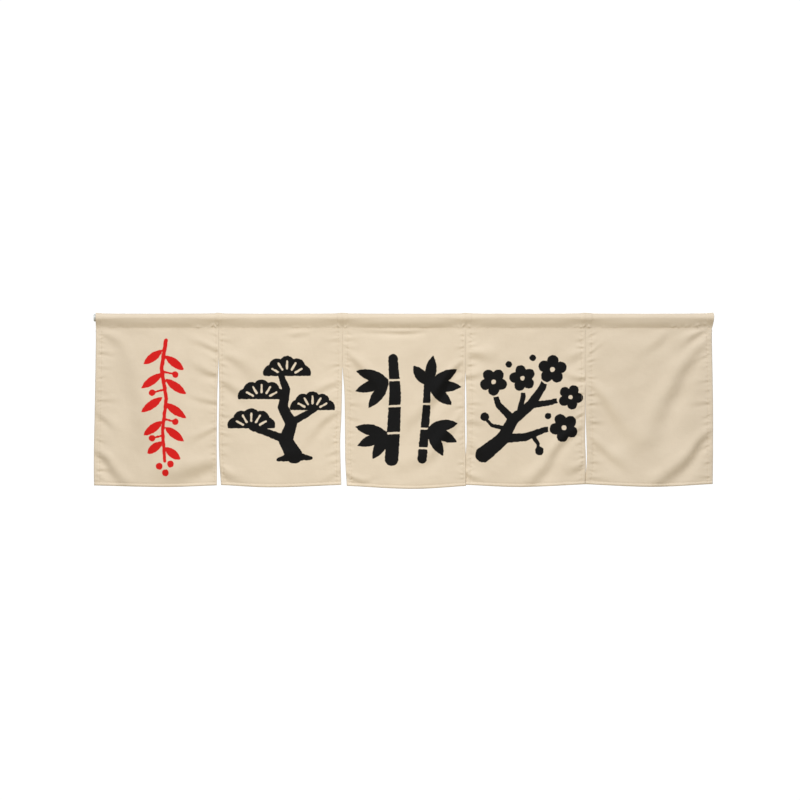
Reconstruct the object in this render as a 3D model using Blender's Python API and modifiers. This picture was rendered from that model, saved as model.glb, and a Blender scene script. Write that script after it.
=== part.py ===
"""A five-panel door curtain hung on a plain round rod.

Metres, +Z up, the front towards -Y. The origin is on the rod's axis, midway along the curtain.
Each panel is one piece of cloth: from its bottom hem it runs up to the pocket's seam, forward
round the rod and over it, and down behind to a short turned edge, which the seam holds.
"""

import math
from collections import namedtuple

import bmesh
import bpy
from mathutils import Vector

MM = 0.001

# Rod
ROD_DIAMETER = 0.020
ROD_LENGTH = 1.704
ROD_CENTRE_X = -0.001
ROD_CHAMFER = 0.0008
ROD_SIDES = 64

# Cloth
GAP = 0.0003
CLOTH = 0.0012
HEM_CLOTH = 0.0020
SIDE_HEM = 0.012
BOTTOM_HEM = 0.010
HEM_STEP = 0.002
SEAM_DROP = 0.0286
TURNED_EDGE = 0.009

# Where the sleeve's cloth stands off the rod at a join, and how far from the join that fades
JOIN_LIFT = 0.0012
JOIN_LIFT_REACH = 0.045

# The height above the seam in which the pocket leaves the panel's plane at a join, and how far from
# the join that and the lack of slack there fade
JOIN_POCKET_EASE = 0.0070
JOIN_POCKET_REACH = 0.055

# The sleeve's right end flares out at its top, and how far from the end that fades
END_FLARE = 0.0065
END_FLARE_REACH = 0.05
END_FLARE_ROUND = 0.35

# How far below the seam, from a sewn join or a free edge, and below a slit's start a fold reaches
# its full depth, and the share of it that a free edge's hem takes away
SEAM_EASE = 0.010
JOIN_EASE = 0.018
OVERLAP_EASE = 0.012
HEM_HOLD = 0.6
SLIT_EASE = 0.040

# Heights at which an edge's line is given, as drops below the rod's axis
EDGE_DROPS = (0.202, 0.267, 0.336, 0.396, 0.461)
HEM_DROP = EDGE_DROPS[-1]

# Mesh density
COLUMNS_BETWEEN_HEMS = 15
ARC_STEPS = 10
STRAIGHT_STEPS = 3
PANEL_ROWS = 19
LINE_STEPS = 4

# One row for each vertical line between panels, and for the two outer edges, in millimetres.
# join_x is where the line is sewn at the top and slit_drop is where it starts to open. left and
# right are how far the panels on its left and right stand off it sideways (+X) at EDGE_DROPS, and
# left_back and right_back how far behind the panel's plane their edges hang at the hem.
EdgeLine = namedtuple("EdgeLine", "join_x slit_drop left left_back right right_back")
EDGE_LINES = (
    EdgeLine(-847.5, 62, (0, 0, 0, 0, 0), 0, (-2.2, -3.5, -5.1, -6.0, -5.6), 3.0),
    EdgeLine(-510.0, 108, (-3.3, -4.4, -5.2, -4.9, -4.9), 2.0, (1.5, 0.7, 0.4, 2.1, 6.6), 3.5),
    EdgeLine(-169.5, 134, (-1.2, -2.6, -5.8, -5.0, -3.0), 2.5, (5.4, 6.8, 7.4, 8.2, 12.1), 3.0),
    EdgeLine(169.2, 148, (-1.6, -1.3, -0.7, 1.0, 1.0), -2.0, (2.2, 2.6, 3.1, -0.2, -0.6), 3.6),
    EdgeLine(499.0, 188, (0.0, -0.2, -0.7, 1.3, -0.6), -1.5, (0.1, 0.7, 3.2, 3.8, -3.0), 3.2),
    EdgeLine(847.0, 62, (2.6, 3.3, 3.3, 3.1, 2.4), 3.0, (0, 0, 0, 0, 0), 0),
)

# One row for each panel, in millimetres: the bottom edge's drops at its left corner, at its lowest
# place (a share of the width from the left) and at its right corner, how far the panel's middle
# stands forward of its edges at half height and at the hem, the height above the seam in which its
# pocket leaves the panel's plane away from the joins, and how far the pocket's slack bulges there.
Hang = namedtuple("Hang", "left_drop lowest_drop lowest_at right_drop belly_mid belly_hem ease slack")
HANGS = (
    Hang(461.1, 465.4, 0.60, 460.8, 3.0, 3.0, 4.5, 1.5),
    Hang(460.0, 466.0, 0.42, 459.6, 0.0, 8.0, 8.0, 1.8),
    Hang(462.2, 470.2, 0.56, 462.4, 0.5, 8.0, 3.0, 3.0),
    Hang(459.4, 465.2, 0.46, 457.8, 2.0, 4.0, 4.0, 1.5),
    Hang(457.6, 464.8, 0.54, 457.2, -3.0, 5.0, 1.5, 1.5),
)

# One row for each main fold, in millimetres: the panel, how wide the fold is at its start and end,
# how deep at its start, middle and end, and its line as (x, drop) points from its start. A fold
# stands forward above its line and dips back below it.
Fold = namedtuple("Fold", "panel widths depths line")
FOLDS = (
    Fold(1, (10, 18), (1.0, 2.2, 0.8), ((-840, 42), (-806, 58), (-782, 80), (-762, 112))),
    Fold(1, (26, 30), (0.6, 3.6, 1.0), ((-800, 90), (-762, 150), (-742, 240), (-722, 330), (-686, 410))),
    Fold(1, (9, 15), (3.4, 2.2, 0.0), ((-514, 159), (-544, 151), (-570, 135), (-606, 112))),
    Fold(1, (8, 13), (1.4, 1.6, 0.0), ((-843, 268), (-814, 290), (-782, 320))),
    Fold(1, (11, 16), (3.4, 4.2, 2.6), ((-846, 374), (-820, 392), (-800, 424), (-772, 454))),
    Fold(1, (15, 30), (3.4, 5.6, 3.2), ((-516, 404), (-560, 418), (-604, 432), (-664, 446))),
    Fold(2, (9, 20), (1.6, 2.8, 0.8), ((-503, 104), (-470, 118), (-440, 138), (-398, 172))),
    Fold(2, (9, 17), (1.8, 2.6, 0.6), ((-504, 180), (-476, 194), (-450, 215), (-422, 246))),
    Fold(2, (8, 13), (1.4, 2.2, 0.6), ((-176, 179), (-204, 188), (-232, 202), (-262, 220))),
    Fold(2, (8, 15), (1.6, 2.6, 0.8), ((-178, 261), (-212, 282), (-242, 314), (-282, 362))),
    Fold(2, (14, 14), (0.2, 1.6, 0.2), ((-366, 362), (-316, 386), (-266, 378))),
    Fold(2, (10, 16), (3.6, 3.2, 0.8), ((-510, 416), (-486, 436), (-436, 455))),
    Fold(3, (8, 8), (0.8, 3.0, 1.6), ((-124, 32), (-60, 36), (-16, 38), (20, 37), (50, 32))),
    Fold(3, (8, 19), (1.6, 3.4, 1.2), ((-160, 100), (-128, 130), (-100, 168), (-66, 226))),
    Fold(
        3,
        (9, 18),
        (3.4, 5.2, 1.2),
        ((160, 126), (135, 150), (112, 184), (88, 222), (54, 258), (-16, 330)),
    ),
    Fold(3, (9, 20), (1.6, 3.0, 1.0), ((158, 272), (130, 312), (100, 352), (66, 392), (4, 412))),
    Fold(4, (11, 18), (4.4, 3.2, 0.2), ((171, 103), (200, 106), (228, 112), (268, 112))),
    Fold(4, (13, 13), (0.2, 1.4, 0.2), ((426, 78), (408, 112), (396, 150))),
    Fold(4, (10, 16), (3.4, 2.6, 0.0), ((498, 100), (474, 111), (440, 130))),
    Fold(4, (10, 20), (1.4, 2.4, 0.6), ((170, 340), (194, 366), (228, 412))),
    Fold(
        4,
        (9, 17),
        (2.0, 3.6, 4.2),
        ((498, 300), (470, 318), (440, 340), (412, 376), (394, 410), (358, 450)),
    ),
    Fold(4, (9, 14), (3.2, 2.6, 0.0), ((499, 404), (474, 418), (430, 434))),
    Fold(5, (14, 14), (0.4, 1.9, 0.4), ((732, 30), (702, 70), (654, 102))),
    Fold(5, (9, 13), (2.6, 3.4, 0.6), ((828, 34), (797, 53), (760, 82))),
    Fold(
        5,
        (13, 30),
        (1.2, 4.8, 1.8),
        (
            (843, 70), (812, 90), (788, 122), (765, 156), (744, 200),
            (720, 245), (700, 292), (680, 334), (646, 370),
        ),
    ),
    Fold(5, (10, 30), (1.6, 4.8, 1.8), ((512, 184), (545, 222), (576, 270), (610, 322), (650, 364))),
    Fold(5, (11, 20), (2.4, 5.4, 4.8), ((844, 316), (814, 344), (788, 384), (754, 418), (706, 452))),
    Fold(5, (9, 17), (2.0, 2.8, 0.4), ((510, 332), (548, 366), (590, 402), (640, 438))),
)

CLOTH_COLOUR = (0.745, 0.640, 0.480, 1.0)
ROD_COLOUR = (0.50, 0.50, 0.47, 1.0)


def clear_scene():
    """Removes what the startup scene holds."""
    for obj in list(bpy.data.objects):
        bpy.data.objects.remove(obj, do_unlink=True)


def new_material(name, colour, roughness, metallic):
    material = bpy.data.materials.new(name)
    material.use_nodes = True
    shader = material.node_tree.nodes["Principled BSDF"]
    shader.inputs["Base Color"].default_value = colour
    shader.inputs["Roughness"].default_value = roughness
    shader.inputs["Metallic"].default_value = metallic
    material.diffuse_color = colour
    return material


def smooth_through(knots, at):
    """The height at this place of a smooth curve through the knots, (place, height) pairs in order."""
    if at <= knots[0][0]:
        return knots[0][1]
    if at >= knots[-1][0]:
        return knots[-1][1]
    slopes = []
    for i in range(len(knots)):
        before = knots[max(i - 1, 0)]
        after = knots[min(i + 1, len(knots) - 1)]
        slopes.append((after[1] - before[1]) / (after[0] - before[0]))
    for i in range(len(knots) - 1):
        place, height = knots[i]
        next_place, next_height = knots[i + 1]
        if at <= next_place:
            break
    span = next_place - place
    t = (at - place) / span
    return (
        (2 * t**3 - 3 * t**2 + 1) * height
        + (t**3 - 2 * t**2 + t) * span * slopes[i]
        + (3 * t**2 - 2 * t**3) * next_height
        + (t**3 - t**2) * span * slopes[i + 1]
    )


def edge_shift(line, side, drop):
    """How far sideways the panel on this side of the line stands off it at this drop."""
    shifts = line.left if side == "left" else line.right
    knots = [(line.slit_drop * MM, 0.0)]
    knots += [(place, shift * MM) for place, shift in zip(EDGE_DROPS, shifts)]
    return smooth_through(knots, drop)


def edge_x(number, side, drop):
    """Where a panel's left or right edge runs at this drop below the rod's axis."""
    if side == "left":
        line = EDGE_LINES[number - 1]
        return line.join_x * MM + GAP / 2 + edge_shift(line, "right", drop)
    line = EDGE_LINES[number]
    return line.join_x * MM - GAP / 2 + edge_shift(line, "left", drop)


def bottom_drop(number, across):
    """The drop of the bottom edge at this share of the panel's width."""
    hang = HANGS[number - 1]
    knots = (
        (0.0, hang.left_drop * MM),
        (hang.lowest_at, hang.lowest_drop * MM),
        (1.0, hang.right_drop * MM),
    )
    return smooth_through(knots, across)


def fold_line(fold):
    """Points (x, drop, width, depth) along the fold's smooth line."""
    last = len(fold.line) - 1
    x_knots = [(i, x) for i, (x, _) in enumerate(fold.line)]
    drop_knots = [(i, drop) for i, (_, drop) in enumerate(fold.line)]
    depth_knots = [(last * i / 2, depth) for i, depth in enumerate(fold.depths)]
    points = []
    for step in range(last * LINE_STEPS + 1):
        t = step / LINE_STEPS
        width = fold.widths[0] + (fold.widths[1] - fold.widths[0]) * t / last
        x, drop, depth = (smooth_through(knots, t) for knots in (x_knots, drop_knots, depth_knots))
        points.append((x * MM, drop * MM, width * MM, depth * MM))
    return points


FOLD_LINES = [fold_line(fold) for fold in FOLDS]


def fold_depth(line, x, drop):
    """How far back the fold on this line moves the cloth at this place."""
    nearest = None
    for (x0, drop0, width0, depth0), (x1, drop1, width1, depth1) in zip(line, line[1:]):
        along = Vector((x1 - x0, drop0 - drop1))
        to_point = Vector((x - x0, drop0 - drop))
        share = min(max(to_point.dot(along) / along.length_squared, 0.0), 1.0)
        away = (to_point - along * share).length
        if nearest is None or away < nearest[0]:
            above = (to_point.y * along.x - to_point.x * along.y) / along.length
            width = width0 + (width1 - width0) * share
            nearest = (away, above / width, away / width, depth0 + (depth1 - depth0) * share)
    _, above, away, depth = nearest
    rightwards = 1 if line[-1][0] > line[0][0] else -1
    return -depth * rightwards * above * math.exp(0.5 - away * away / 2)


def overlaps(line):
    """Whether the edges on this line cross at the hem, one in front of the other."""
    return line.left[-1] > line.right[-1] and line.slit_drop > EDGE_LINES[0].slit_drop


def edge_freedom(line, drop, from_edge):
    """0 on a sewn join, rising to 1 away from it, and below its slit unless the edges overlap."""
    if overlaps(line) and drop > line.slit_drop * MM:
        return 1.0 - math.exp(-((from_edge / OVERLAP_EASE) ** 2))
    below_slit = min(max((drop - line.slit_drop * MM) / SLIT_EASE, 0.0), 1.0)
    away = 1.0 - math.exp(-((from_edge / JOIN_EASE) ** 2))
    in_hem = 1.0 - HEM_HOLD * math.exp(-((from_edge / OVERLAP_EASE) ** 2))
    return max(below_slit * in_hem, away)


def panel_depth(number, across, x, drop):
    """The front surface's place along Y, where 0 is under the rod's axis."""
    hang = HANGS[number - 1]
    left_line = EDGE_LINES[number - 1]
    right_line = EDGE_LINES[number]
    fall = (drop - SEAM_DROP) / (HEM_DROP - SEAM_DROP)
    belly = smooth_through(((0.0, 0.0), (0.5, hang.belly_mid), (1.0, hang.belly_hem)), fall)
    depth = -belly * MM * math.sin(math.pi * across)
    depth += left_line.right_back * MM * fall**3 * (1 - across) ** 4
    depth += right_line.left_back * MM * fall**3 * across**4
    folds = 0.0
    for fold, line in zip(FOLDS, FOLD_LINES):
        if fold.panel == number:
            folds += fold_depth(line, x, drop)
    below_seam = 1.0 - math.exp(-(((drop - SEAM_DROP) / SEAM_EASE) ** 2))
    free = edge_freedom(left_line, drop, x - edge_x(number, "left", drop))
    free *= edge_freedom(right_line, drop, edge_x(number, "right", drop) - x)
    return depth + folds * below_seam * free


def column_places(width):
    """Distances from the panel's left edge at which its mesh has a column."""
    first = SIDE_HEM + HEM_STEP / 2
    last = width - first
    places = [0.0, SIDE_HEM - HEM_STEP / 2]
    for i in range(COLUMNS_BETWEEN_HEMS + 2):
        places.append(first + (last - first) * i / (COLUMNS_BETWEEN_HEMS + 1))
    places += [width - SIDE_HEM + HEM_STEP / 2, width]
    return places


def cloth_at(from_left, width):
    """The cloth's thickness at this distance across a panel."""
    in_hem = min(from_left, width - from_left) < SIDE_HEM
    return HEM_CLOTH if in_hem else CLOTH


def leaving_angle(radius, seam_y, ease, slack):
    """How far below level the pocket's cloth leaves the rod's curve, in a smooth line to the seam."""
    low, high = 0.0, 1.2
    for _ in range(40):
        angle = (low + high) / 2
        height = SEAM_DROP - radius * math.sin(angle)
        steepness = math.tan(angle) + slack * math.pi / height
        if steepness * (math.hypot(height, ease) - ease) < radius * math.cos(angle) - abs(seam_y):
            low = angle
        else:
            high = angle
    return angle


def straight_part(angle, radius, seam_y, ease, slack):
    """The pocket's line from the seam up to where it meets the rod's curve, that end left out."""
    height = SEAM_DROP - radius * math.sin(angle)
    steepness = math.tan(angle) + slack * math.pi / height
    points = []
    for i in range(STRAIGHT_STEPS):
        t = i / STRAIGHT_STEPS
        out = steepness * (math.hypot(height * t, ease) - ease) + slack * math.sin(math.pi * t)
        points.append((seam_y + math.copysign(out, seam_y), height * t - SEAM_DROP))
    return points


def sleeve_section(from_left, width, hang):
    """The pocket's outer line at one column, from its back seam over the rod to its front seam."""
    thickness = cloth_at(from_left, width)
    to_join = min(from_left, width - from_left)
    radius = ROD_DIAMETER / 2 + GAP + thickness + JOIN_LIFT * math.exp(-to_join / JOIN_LIFT_REACH)
    front_y = -(CLOTH + GAP / 2)
    back_y = front_y + 2 * thickness + GAP
    loose = 1.0 - math.exp(-((to_join / JOIN_POCKET_REACH) ** 2))
    ease = JOIN_POCKET_EASE + (hang.ease * MM - JOIN_POCKET_EASE) * loose
    slack = hang.slack * MM * loose
    behind = leaving_angle(radius, back_y, ease, slack)
    before = leaving_angle(radius, front_y, ease, slack)
    arc = []
    for i in range(ARC_STEPS + 1):
        angle = -behind + (math.pi + before + behind) * i / ARC_STEPS
        arc.append((radius * math.cos(angle), radius * math.sin(angle)))
    back_part = straight_part(behind, radius, back_y, ease, slack)
    front_part = straight_part(before, radius, front_y, ease, slack)
    return [(back_y, -SEAM_DROP)] + back_part + arc + front_part[::-1] + [(front_y, -SEAM_DROP)]


def sleeve_x(number, across, height):
    """Where a sleeve point stands along X: the last panel's right end flares out at its top."""
    left = edge_x(number, "left", SEAM_DROP)
    right = edge_x(number, "right", SEAM_DROP)
    x = left + (right - left) * across
    if number == len(HANGS):
        rise = min(max((height + SEAM_DROP) / (SEAM_DROP + ROD_DIAMETER / 2), 0.0), 1.0)
        flare = END_FLARE * rise**0.7 * (1 - END_FLARE_ROUND * rise**6)
        x += flare * max(0.0, 1 - (right - x) / END_FLARE_REACH) ** 2
    return x


def panel_points(number):
    """The panel's outer surface as columns of points, from the hem up and over to the turned edge."""
    left = edge_x(number, "left", SEAM_DROP)
    width = edge_x(number, "right", SEAM_DROP) - left
    front_y = -(CLOTH + GAP / 2)
    turned_drop = SEAM_DROP + TURNED_EDGE
    columns = []
    for from_left in column_places(width):
        across = from_left / width
        section = sleeve_section(from_left, width, HANGS[number - 1])
        turned_y = section[0][0] + panel_depth(number, across, left + from_left, turned_drop)
        points = [Vector((left + from_left, turned_y, -turned_drop))]
        points += [Vector((sleeve_x(number, across, z), y, z)) for y, z in section]
        bottom = bottom_drop(number, across)
        hem_top = bottom - BOTTOM_HEM
        drops = [turned_drop + (hem_top - turned_drop) * i / PANEL_ROWS for i in range(PANEL_ROWS)]
        drops += [hem_top - HEM_STEP / 2, hem_top + HEM_STEP / 2, bottom]
        for drop in drops:
            edge_left = edge_x(number, "left", drop)
            edge_right = edge_x(number, "right", drop)
            x = edge_left + (edge_right - edge_left) * across
            points.append(Vector((x, front_y + panel_depth(number, across, x, drop), -drop)))
        columns.append(points[::-1])
    return columns


def build_panel(number, material, collection):
    """A grid bent into the panel's front surface, thickened towards the back, more so in its hems."""
    columns = panel_points(number)
    wide = len(columns) - 1
    high = len(columns[0]) - 1
    mesh = bpy.data.meshes.new(f"panel_{number}")
    bm = bmesh.new()
    bmesh.ops.create_grid(bm, x_segments=wide, y_segments=high, size=1.0)
    weights = {}
    bm.verts.index_update()
    for vert in bm.verts:
        column = round((vert.co.x + 1) / 2 * wide)
        row = round((vert.co.y + 1) / 2 * high)
        vert.co = columns[column][row]
        in_side_hem = column < 2 or column > wide - 2
        in_bottom_hem = row < 2
        weights[vert.index] = 1.0 if in_side_hem or in_bottom_hem else 0.0
    bm.to_mesh(mesh)
    bm.free()
    mesh.shade_smooth()
    panel = bpy.data.objects.new(f"panel_{number}", mesh)
    collection.objects.link(panel)
    panel.data.materials.append(material)
    hems = panel.vertex_groups.new(name="hems")
    for index, weight in weights.items():
        hems.add([index], weight, "REPLACE")
    solidify = panel.modifiers.new("cloth", "SOLIDIFY")
    solidify.thickness = HEM_CLOTH
    solidify.vertex_group = hems.name
    solidify.thickness_vertex_group = CLOTH / HEM_CLOTH
    solidify.offset = -1.0
    solidify.use_even_offset = True
    return panel


def build_rod(material, collection):
    """A round bar along X with a small chamfer round both ends."""
    mesh = bpy.data.meshes.new("rod")
    bm = bmesh.new()
    radius = ROD_DIAMETER / 2
    bmesh.ops.create_cone(
        bm, cap_ends=True, segments=ROD_SIDES, radius1=radius, radius2=radius, depth=ROD_LENGTH
    )
    bm.to_mesh(mesh)
    bm.free()
    rod = bpy.data.objects.new("rod", mesh)
    collection.objects.link(rod)
    rod.data.materials.append(material)
    rod.rotation_euler = (0.0, math.pi / 2, 0.0)
    rod.location = (ROD_CENTRE_X, 0.0, 0.0)
    bevel = rod.modifiers.new("chamfer", "BEVEL")
    bevel.width = ROD_CHAMFER
    bevel.segments = 1
    bevel.limit_method = "ANGLE"
    mesh.shade_smooth()
    mesh.set_sharp_from_angle(angle=math.radians(30))
    return rod


def main():
    clear_scene()
    collection = bpy.data.collections.new("noren_curtain")
    bpy.context.scene.collection.children.link(collection)
    cloth = new_material("plain_cloth", CLOTH_COLOUR, 0.75, 0.0)
    steel = new_material("rod_grey", ROD_COLOUR, 0.4, 0.0)
    build_rod(steel, collection)
    for number in range(1, len(HANGS) + 1):
        build_panel(number, cloth, collection)


main()
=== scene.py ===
"""Looks for the five-panel door curtain: sewn cloth with its creases, thread, print and finishes.

Metres, +Z up, the front towards -Y, the origin on the rod's axis. Each panel's cloth is a thin
closed sheet on its solid's folds: hems, puckers and small creases are added to the same shape.
"""

import math
import random
from collections import namedtuple

import bmesh
import bpy
import numpy as np
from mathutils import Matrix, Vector


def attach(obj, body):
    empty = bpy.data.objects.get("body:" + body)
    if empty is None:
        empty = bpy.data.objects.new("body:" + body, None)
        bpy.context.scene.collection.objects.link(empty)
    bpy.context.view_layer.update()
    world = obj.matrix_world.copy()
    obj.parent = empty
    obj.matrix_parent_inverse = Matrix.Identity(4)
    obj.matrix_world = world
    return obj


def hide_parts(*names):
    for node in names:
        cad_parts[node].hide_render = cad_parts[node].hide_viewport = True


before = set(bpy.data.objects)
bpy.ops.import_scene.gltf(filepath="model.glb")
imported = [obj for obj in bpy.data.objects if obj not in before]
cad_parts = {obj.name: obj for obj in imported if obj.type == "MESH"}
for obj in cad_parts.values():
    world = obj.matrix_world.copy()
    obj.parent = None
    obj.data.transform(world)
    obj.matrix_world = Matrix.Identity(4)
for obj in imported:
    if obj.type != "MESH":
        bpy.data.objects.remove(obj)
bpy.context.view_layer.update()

MM = 0.001

# Sizes, lines, hang and folds as in the part's source
ROD_DIAMETER = 0.020
GAP = 0.0003
CLOTH = 0.0012
HEM_CLOTH = 0.0020
SEAM_DROP = 0.0286
TURNED_EDGE = 0.009
JOIN_LIFT = 0.0012
JOIN_LIFT_REACH = 0.045
JOIN_POCKET_EASE = 0.0070
JOIN_POCKET_REACH = 0.055
END_FLARE = 0.0065
END_FLARE_REACH = 0.05
END_FLARE_ROUND = 0.35
SEAM_EASE = 0.010
JOIN_EASE = 0.018
OVERLAP_EASE = 0.012
HEM_HOLD = 0.6
SLIT_EASE = 0.040
EDGE_DROPS = (0.202, 0.267, 0.336, 0.396, 0.461)
HEM_DROP = EDGE_DROPS[-1]
LINE_STEPS = 4

# Each line between panels and each outer edge, in millimetres: join_x is where it is sewn at the
# top, slit_drop is where it opens, left and right are how far the panels beside it stand off it
# (+X) at EDGE_DROPS, and left_back and right_back how far back their edges hang at the hem.
EdgeLine = namedtuple("EdgeLine", "join_x slit_drop left left_back right right_back")
EDGE_LINES = (
    EdgeLine(-847.5, 62, (0, 0, 0, 0, 0), 0, (-2.2, -3.5, -5.1, -6.0, -5.6), 3.0),
    EdgeLine(-510.0, 108, (-3.3, -4.4, -5.2, -4.9, -4.9), 2.0, (1.5, 0.7, 0.4, 2.1, 6.6), 3.5),
    EdgeLine(-169.5, 134, (-1.2, -2.6, -5.8, -5.0, -3.0), 2.5, (5.4, 6.8, 7.4, 8.2, 12.1), 3.0),
    EdgeLine(169.2, 148, (-1.6, -1.3, -0.7, 1.0, 1.0), -2.0, (2.2, 2.6, 3.1, -0.2, -0.6), 3.6),
    EdgeLine(499.0, 188, (0.0, -0.2, -0.7, 1.3, -0.6), -1.5, (0.1, 0.7, 3.2, 3.8, -3.0), 3.2),
    EdgeLine(847.0, 62, (2.6, 3.3, 3.3, 3.1, 2.4), 3.0, (0, 0, 0, 0, 0), 0),
)

# Each panel, in millimetres: its bottom edge's drops at the left corner, at its lowest place (a
# share of the width) and at the right corner, how far its middle stands forward at half height and
# at the hem, the height in which its pocket leaves the panel's plane, and the pocket's slack.
Hang = namedtuple(
    "Hang", "left_drop lowest_drop lowest_at right_drop belly_mid belly_hem ease slack"
)
HANGS = (
    Hang(461.1, 465.4, 0.60, 460.8, 3.0, 3.0, 4.5, 1.5),
    Hang(460.0, 466.0, 0.42, 459.6, 0.0, 8.0, 8.0, 1.8),
    Hang(462.2, 470.2, 0.56, 462.4, 0.5, 8.0, 3.0, 3.0),
    Hang(459.4, 465.2, 0.46, 457.8, 2.0, 4.0, 4.0, 1.5),
    Hang(457.6, 464.8, 0.54, 457.2, -3.0, 5.0, 1.5, 1.5),
)

# The main folds, in millimetres: the panel, the widths at the start and end, the depths at the
# start, middle and end, and the line as (x, drop) points. A fold stands forward above its line and
# dips back below it.
Fold = namedtuple("Fold", "panel widths depths line")
FOLDS = (
    Fold(1, (10, 18), (1.0, 2.2, 0.8), ((-840, 42), (-806, 58), (-782, 80), (-762, 112))),
    Fold(1, (26, 30), (0.6, 3.6, 1.0), (
        (-800, 90), (-762, 150), (-742, 240), (-722, 330), (-686, 410),
    )),
    Fold(1, (9, 15), (3.4, 2.2, 0.0), ((-514, 159), (-544, 151), (-570, 135), (-606, 112))),
    Fold(1, (8, 13), (1.4, 1.6, 0.0), ((-843, 268), (-814, 290), (-782, 320))),
    Fold(1, (11, 16), (3.4, 4.2, 2.6), ((-846, 374), (-820, 392), (-800, 424), (-772, 454))),
    Fold(1, (15, 30), (3.4, 5.6, 3.2), ((-516, 404), (-560, 418), (-604, 432), (-664, 446))),
    Fold(2, (9, 20), (1.6, 2.8, 0.8), ((-503, 104), (-470, 118), (-440, 138), (-398, 172))),
    Fold(2, (9, 17), (1.8, 2.6, 0.6), ((-504, 180), (-476, 194), (-450, 215), (-422, 246))),
    Fold(2, (8, 13), (1.4, 2.2, 0.6), ((-176, 179), (-204, 188), (-232, 202), (-262, 220))),
    Fold(2, (8, 15), (1.6, 2.6, 0.8), ((-178, 261), (-212, 282), (-242, 314), (-282, 362))),
    Fold(2, (14, 14), (0.2, 1.6, 0.2), ((-366, 362), (-316, 386), (-266, 378))),
    Fold(2, (10, 16), (3.6, 3.2, 0.8), ((-510, 416), (-486, 436), (-436, 455))),
    Fold(3, (8, 8), (0.8, 3.0, 1.6), ((-124, 32), (-60, 36), (-16, 38), (20, 37), (50, 32))),
    Fold(3, (8, 19), (1.6, 3.4, 1.2), ((-160, 100), (-128, 130), (-100, 168), (-66, 226))),
    Fold(3, (9, 18), (3.4, 5.2, 1.2), (
        (160, 126), (135, 150), (112, 184), (88, 222), (54, 258), (-16, 330),
    )),
    Fold(3, (9, 20), (1.6, 3.0, 1.0), ((158, 272), (130, 312), (100, 352), (66, 392), (4, 412))),
    Fold(4, (11, 18), (4.4, 3.2, 0.2), ((171, 103), (200, 106), (228, 112), (268, 112))),
    Fold(4, (13, 13), (0.2, 1.4, 0.2), ((426, 78), (408, 112), (396, 150))),
    Fold(4, (10, 16), (3.4, 2.6, 0.0), ((498, 100), (474, 111), (440, 130))),
    Fold(4, (10, 20), (1.4, 2.4, 0.6), ((170, 340), (194, 366), (228, 412))),
    Fold(4, (9, 17), (2.0, 3.6, 4.2), (
        (498, 300), (470, 318), (440, 340), (412, 376), (394, 410), (358, 450),
    )),
    Fold(4, (9, 14), (3.2, 2.6, 0.0), ((499, 404), (474, 418), (430, 434))),
    Fold(5, (14, 14), (0.4, 1.9, 0.4), ((732, 30), (702, 70), (654, 102))),
    Fold(5, (9, 13), (2.6, 3.4, 0.6), ((828, 34), (797, 53), (760, 82))),
    Fold(5, (13, 30), (1.2, 4.8, 1.8), (
        (843, 70), (812, 90), (788, 122), (765, 156), (744, 200), (720, 245), (700, 292),
        (680, 334), (646, 370),
    )),
    Fold(5, (10, 30), (1.6, 4.8, 1.8), (
        (512, 184), (545, 222), (576, 270), (610, 322), (650, 364),
    )),
    Fold(5, (11, 20), (2.4, 5.4, 4.8), (
        (844, 316), (814, 344), (788, 384), (754, 418), (706, 452),
    )),
    Fold(5, (9, 17), (2.0, 2.8, 0.4), ((510, 332), (548, 366), (590, 402), (640, 438))),
)

# Between two cloths where they are sewn together
SEWN_GAP = 0.00004

# Each panel's left and right hem: how far in from the edge it is stitched
HEM_STITCH = (
    (0.0150, 0.0080), (0.0085, 0.0125), (0.0140, 0.0080), (0.0145, 0.0110), (0.0165, 0.0145),
)
BOTTOM_STITCH = 0.0085
SEAM_STITCH = 0.0020
HEM_PAST_STITCH = 0.0015
HEM_FADE = 0.001

# The relief of the stitched lines, the hems and the rounded edges
GROOVE_DEPTH = 0.00035
GROOVE_WIDTH = 0.0010
BOTTOM_GROOVE = 1.5
BOTTOM_GROOVE_SPREAD = 3.2
HEM_PUFF = 0.00030
EDGE_ROUND = 0.0014
JOIN_ROUND = 0.0002
SLIT_ROUND_REACH = 0.02
STEEPEST_ROUND = 0.98
BOTTOM_BEAD = 0.0011
BOTTOM_BEAD_SHAPE = 0.7
BOTTOM_ROUND = 0.0024

# Small creases, which only the cloth here has, in the same rows as the folds
CREASES = (
    Fold(1, (7, 10), (2.0, 1.4, 0.0), ((-518, 90), (-560, 72), (-604, 56))),
    Fold(1, (7, 10), (2.0, 1.4, 0.0), ((-517, 235), (-556, 227), (-600, 211))),
    Fold(1, (7, 12), (1.8, 1.6, 0.0), ((-518, 306), (-560, 326), (-602, 348))),
    Fold(2, (8, 8), (0.2, 1.2, 0.2), ((-326, 50), (-292, 47), (-258, 41))),
    Fold(2, (7, 11), (1.0, 1.2, 0.0), ((-175, 422), (-202, 440), (-240, 452))),
    Fold(3, (7, 9), (1.8, 1.8, 0.2), ((-166, 426), (-138, 444), (-106, 451), (-74, 434))),
    Fold(4, (7, 10), (2.4, 1.8, 0.0), ((171, 165), (194, 162), (222, 151))),
    Fold(4, (7, 10), (1.4, 1.4, 0.0), ((170, 290), (196, 291), (234, 300))),
    Fold(4, (7, 11), (2.4, 1.8, 0.2), ((169, 430), (194, 443), (230, 450))),
    Fold(4, (7, 11), (2.4, 1.6, 0.0), ((499, 169), (466, 166), (418, 144))),
)

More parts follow.
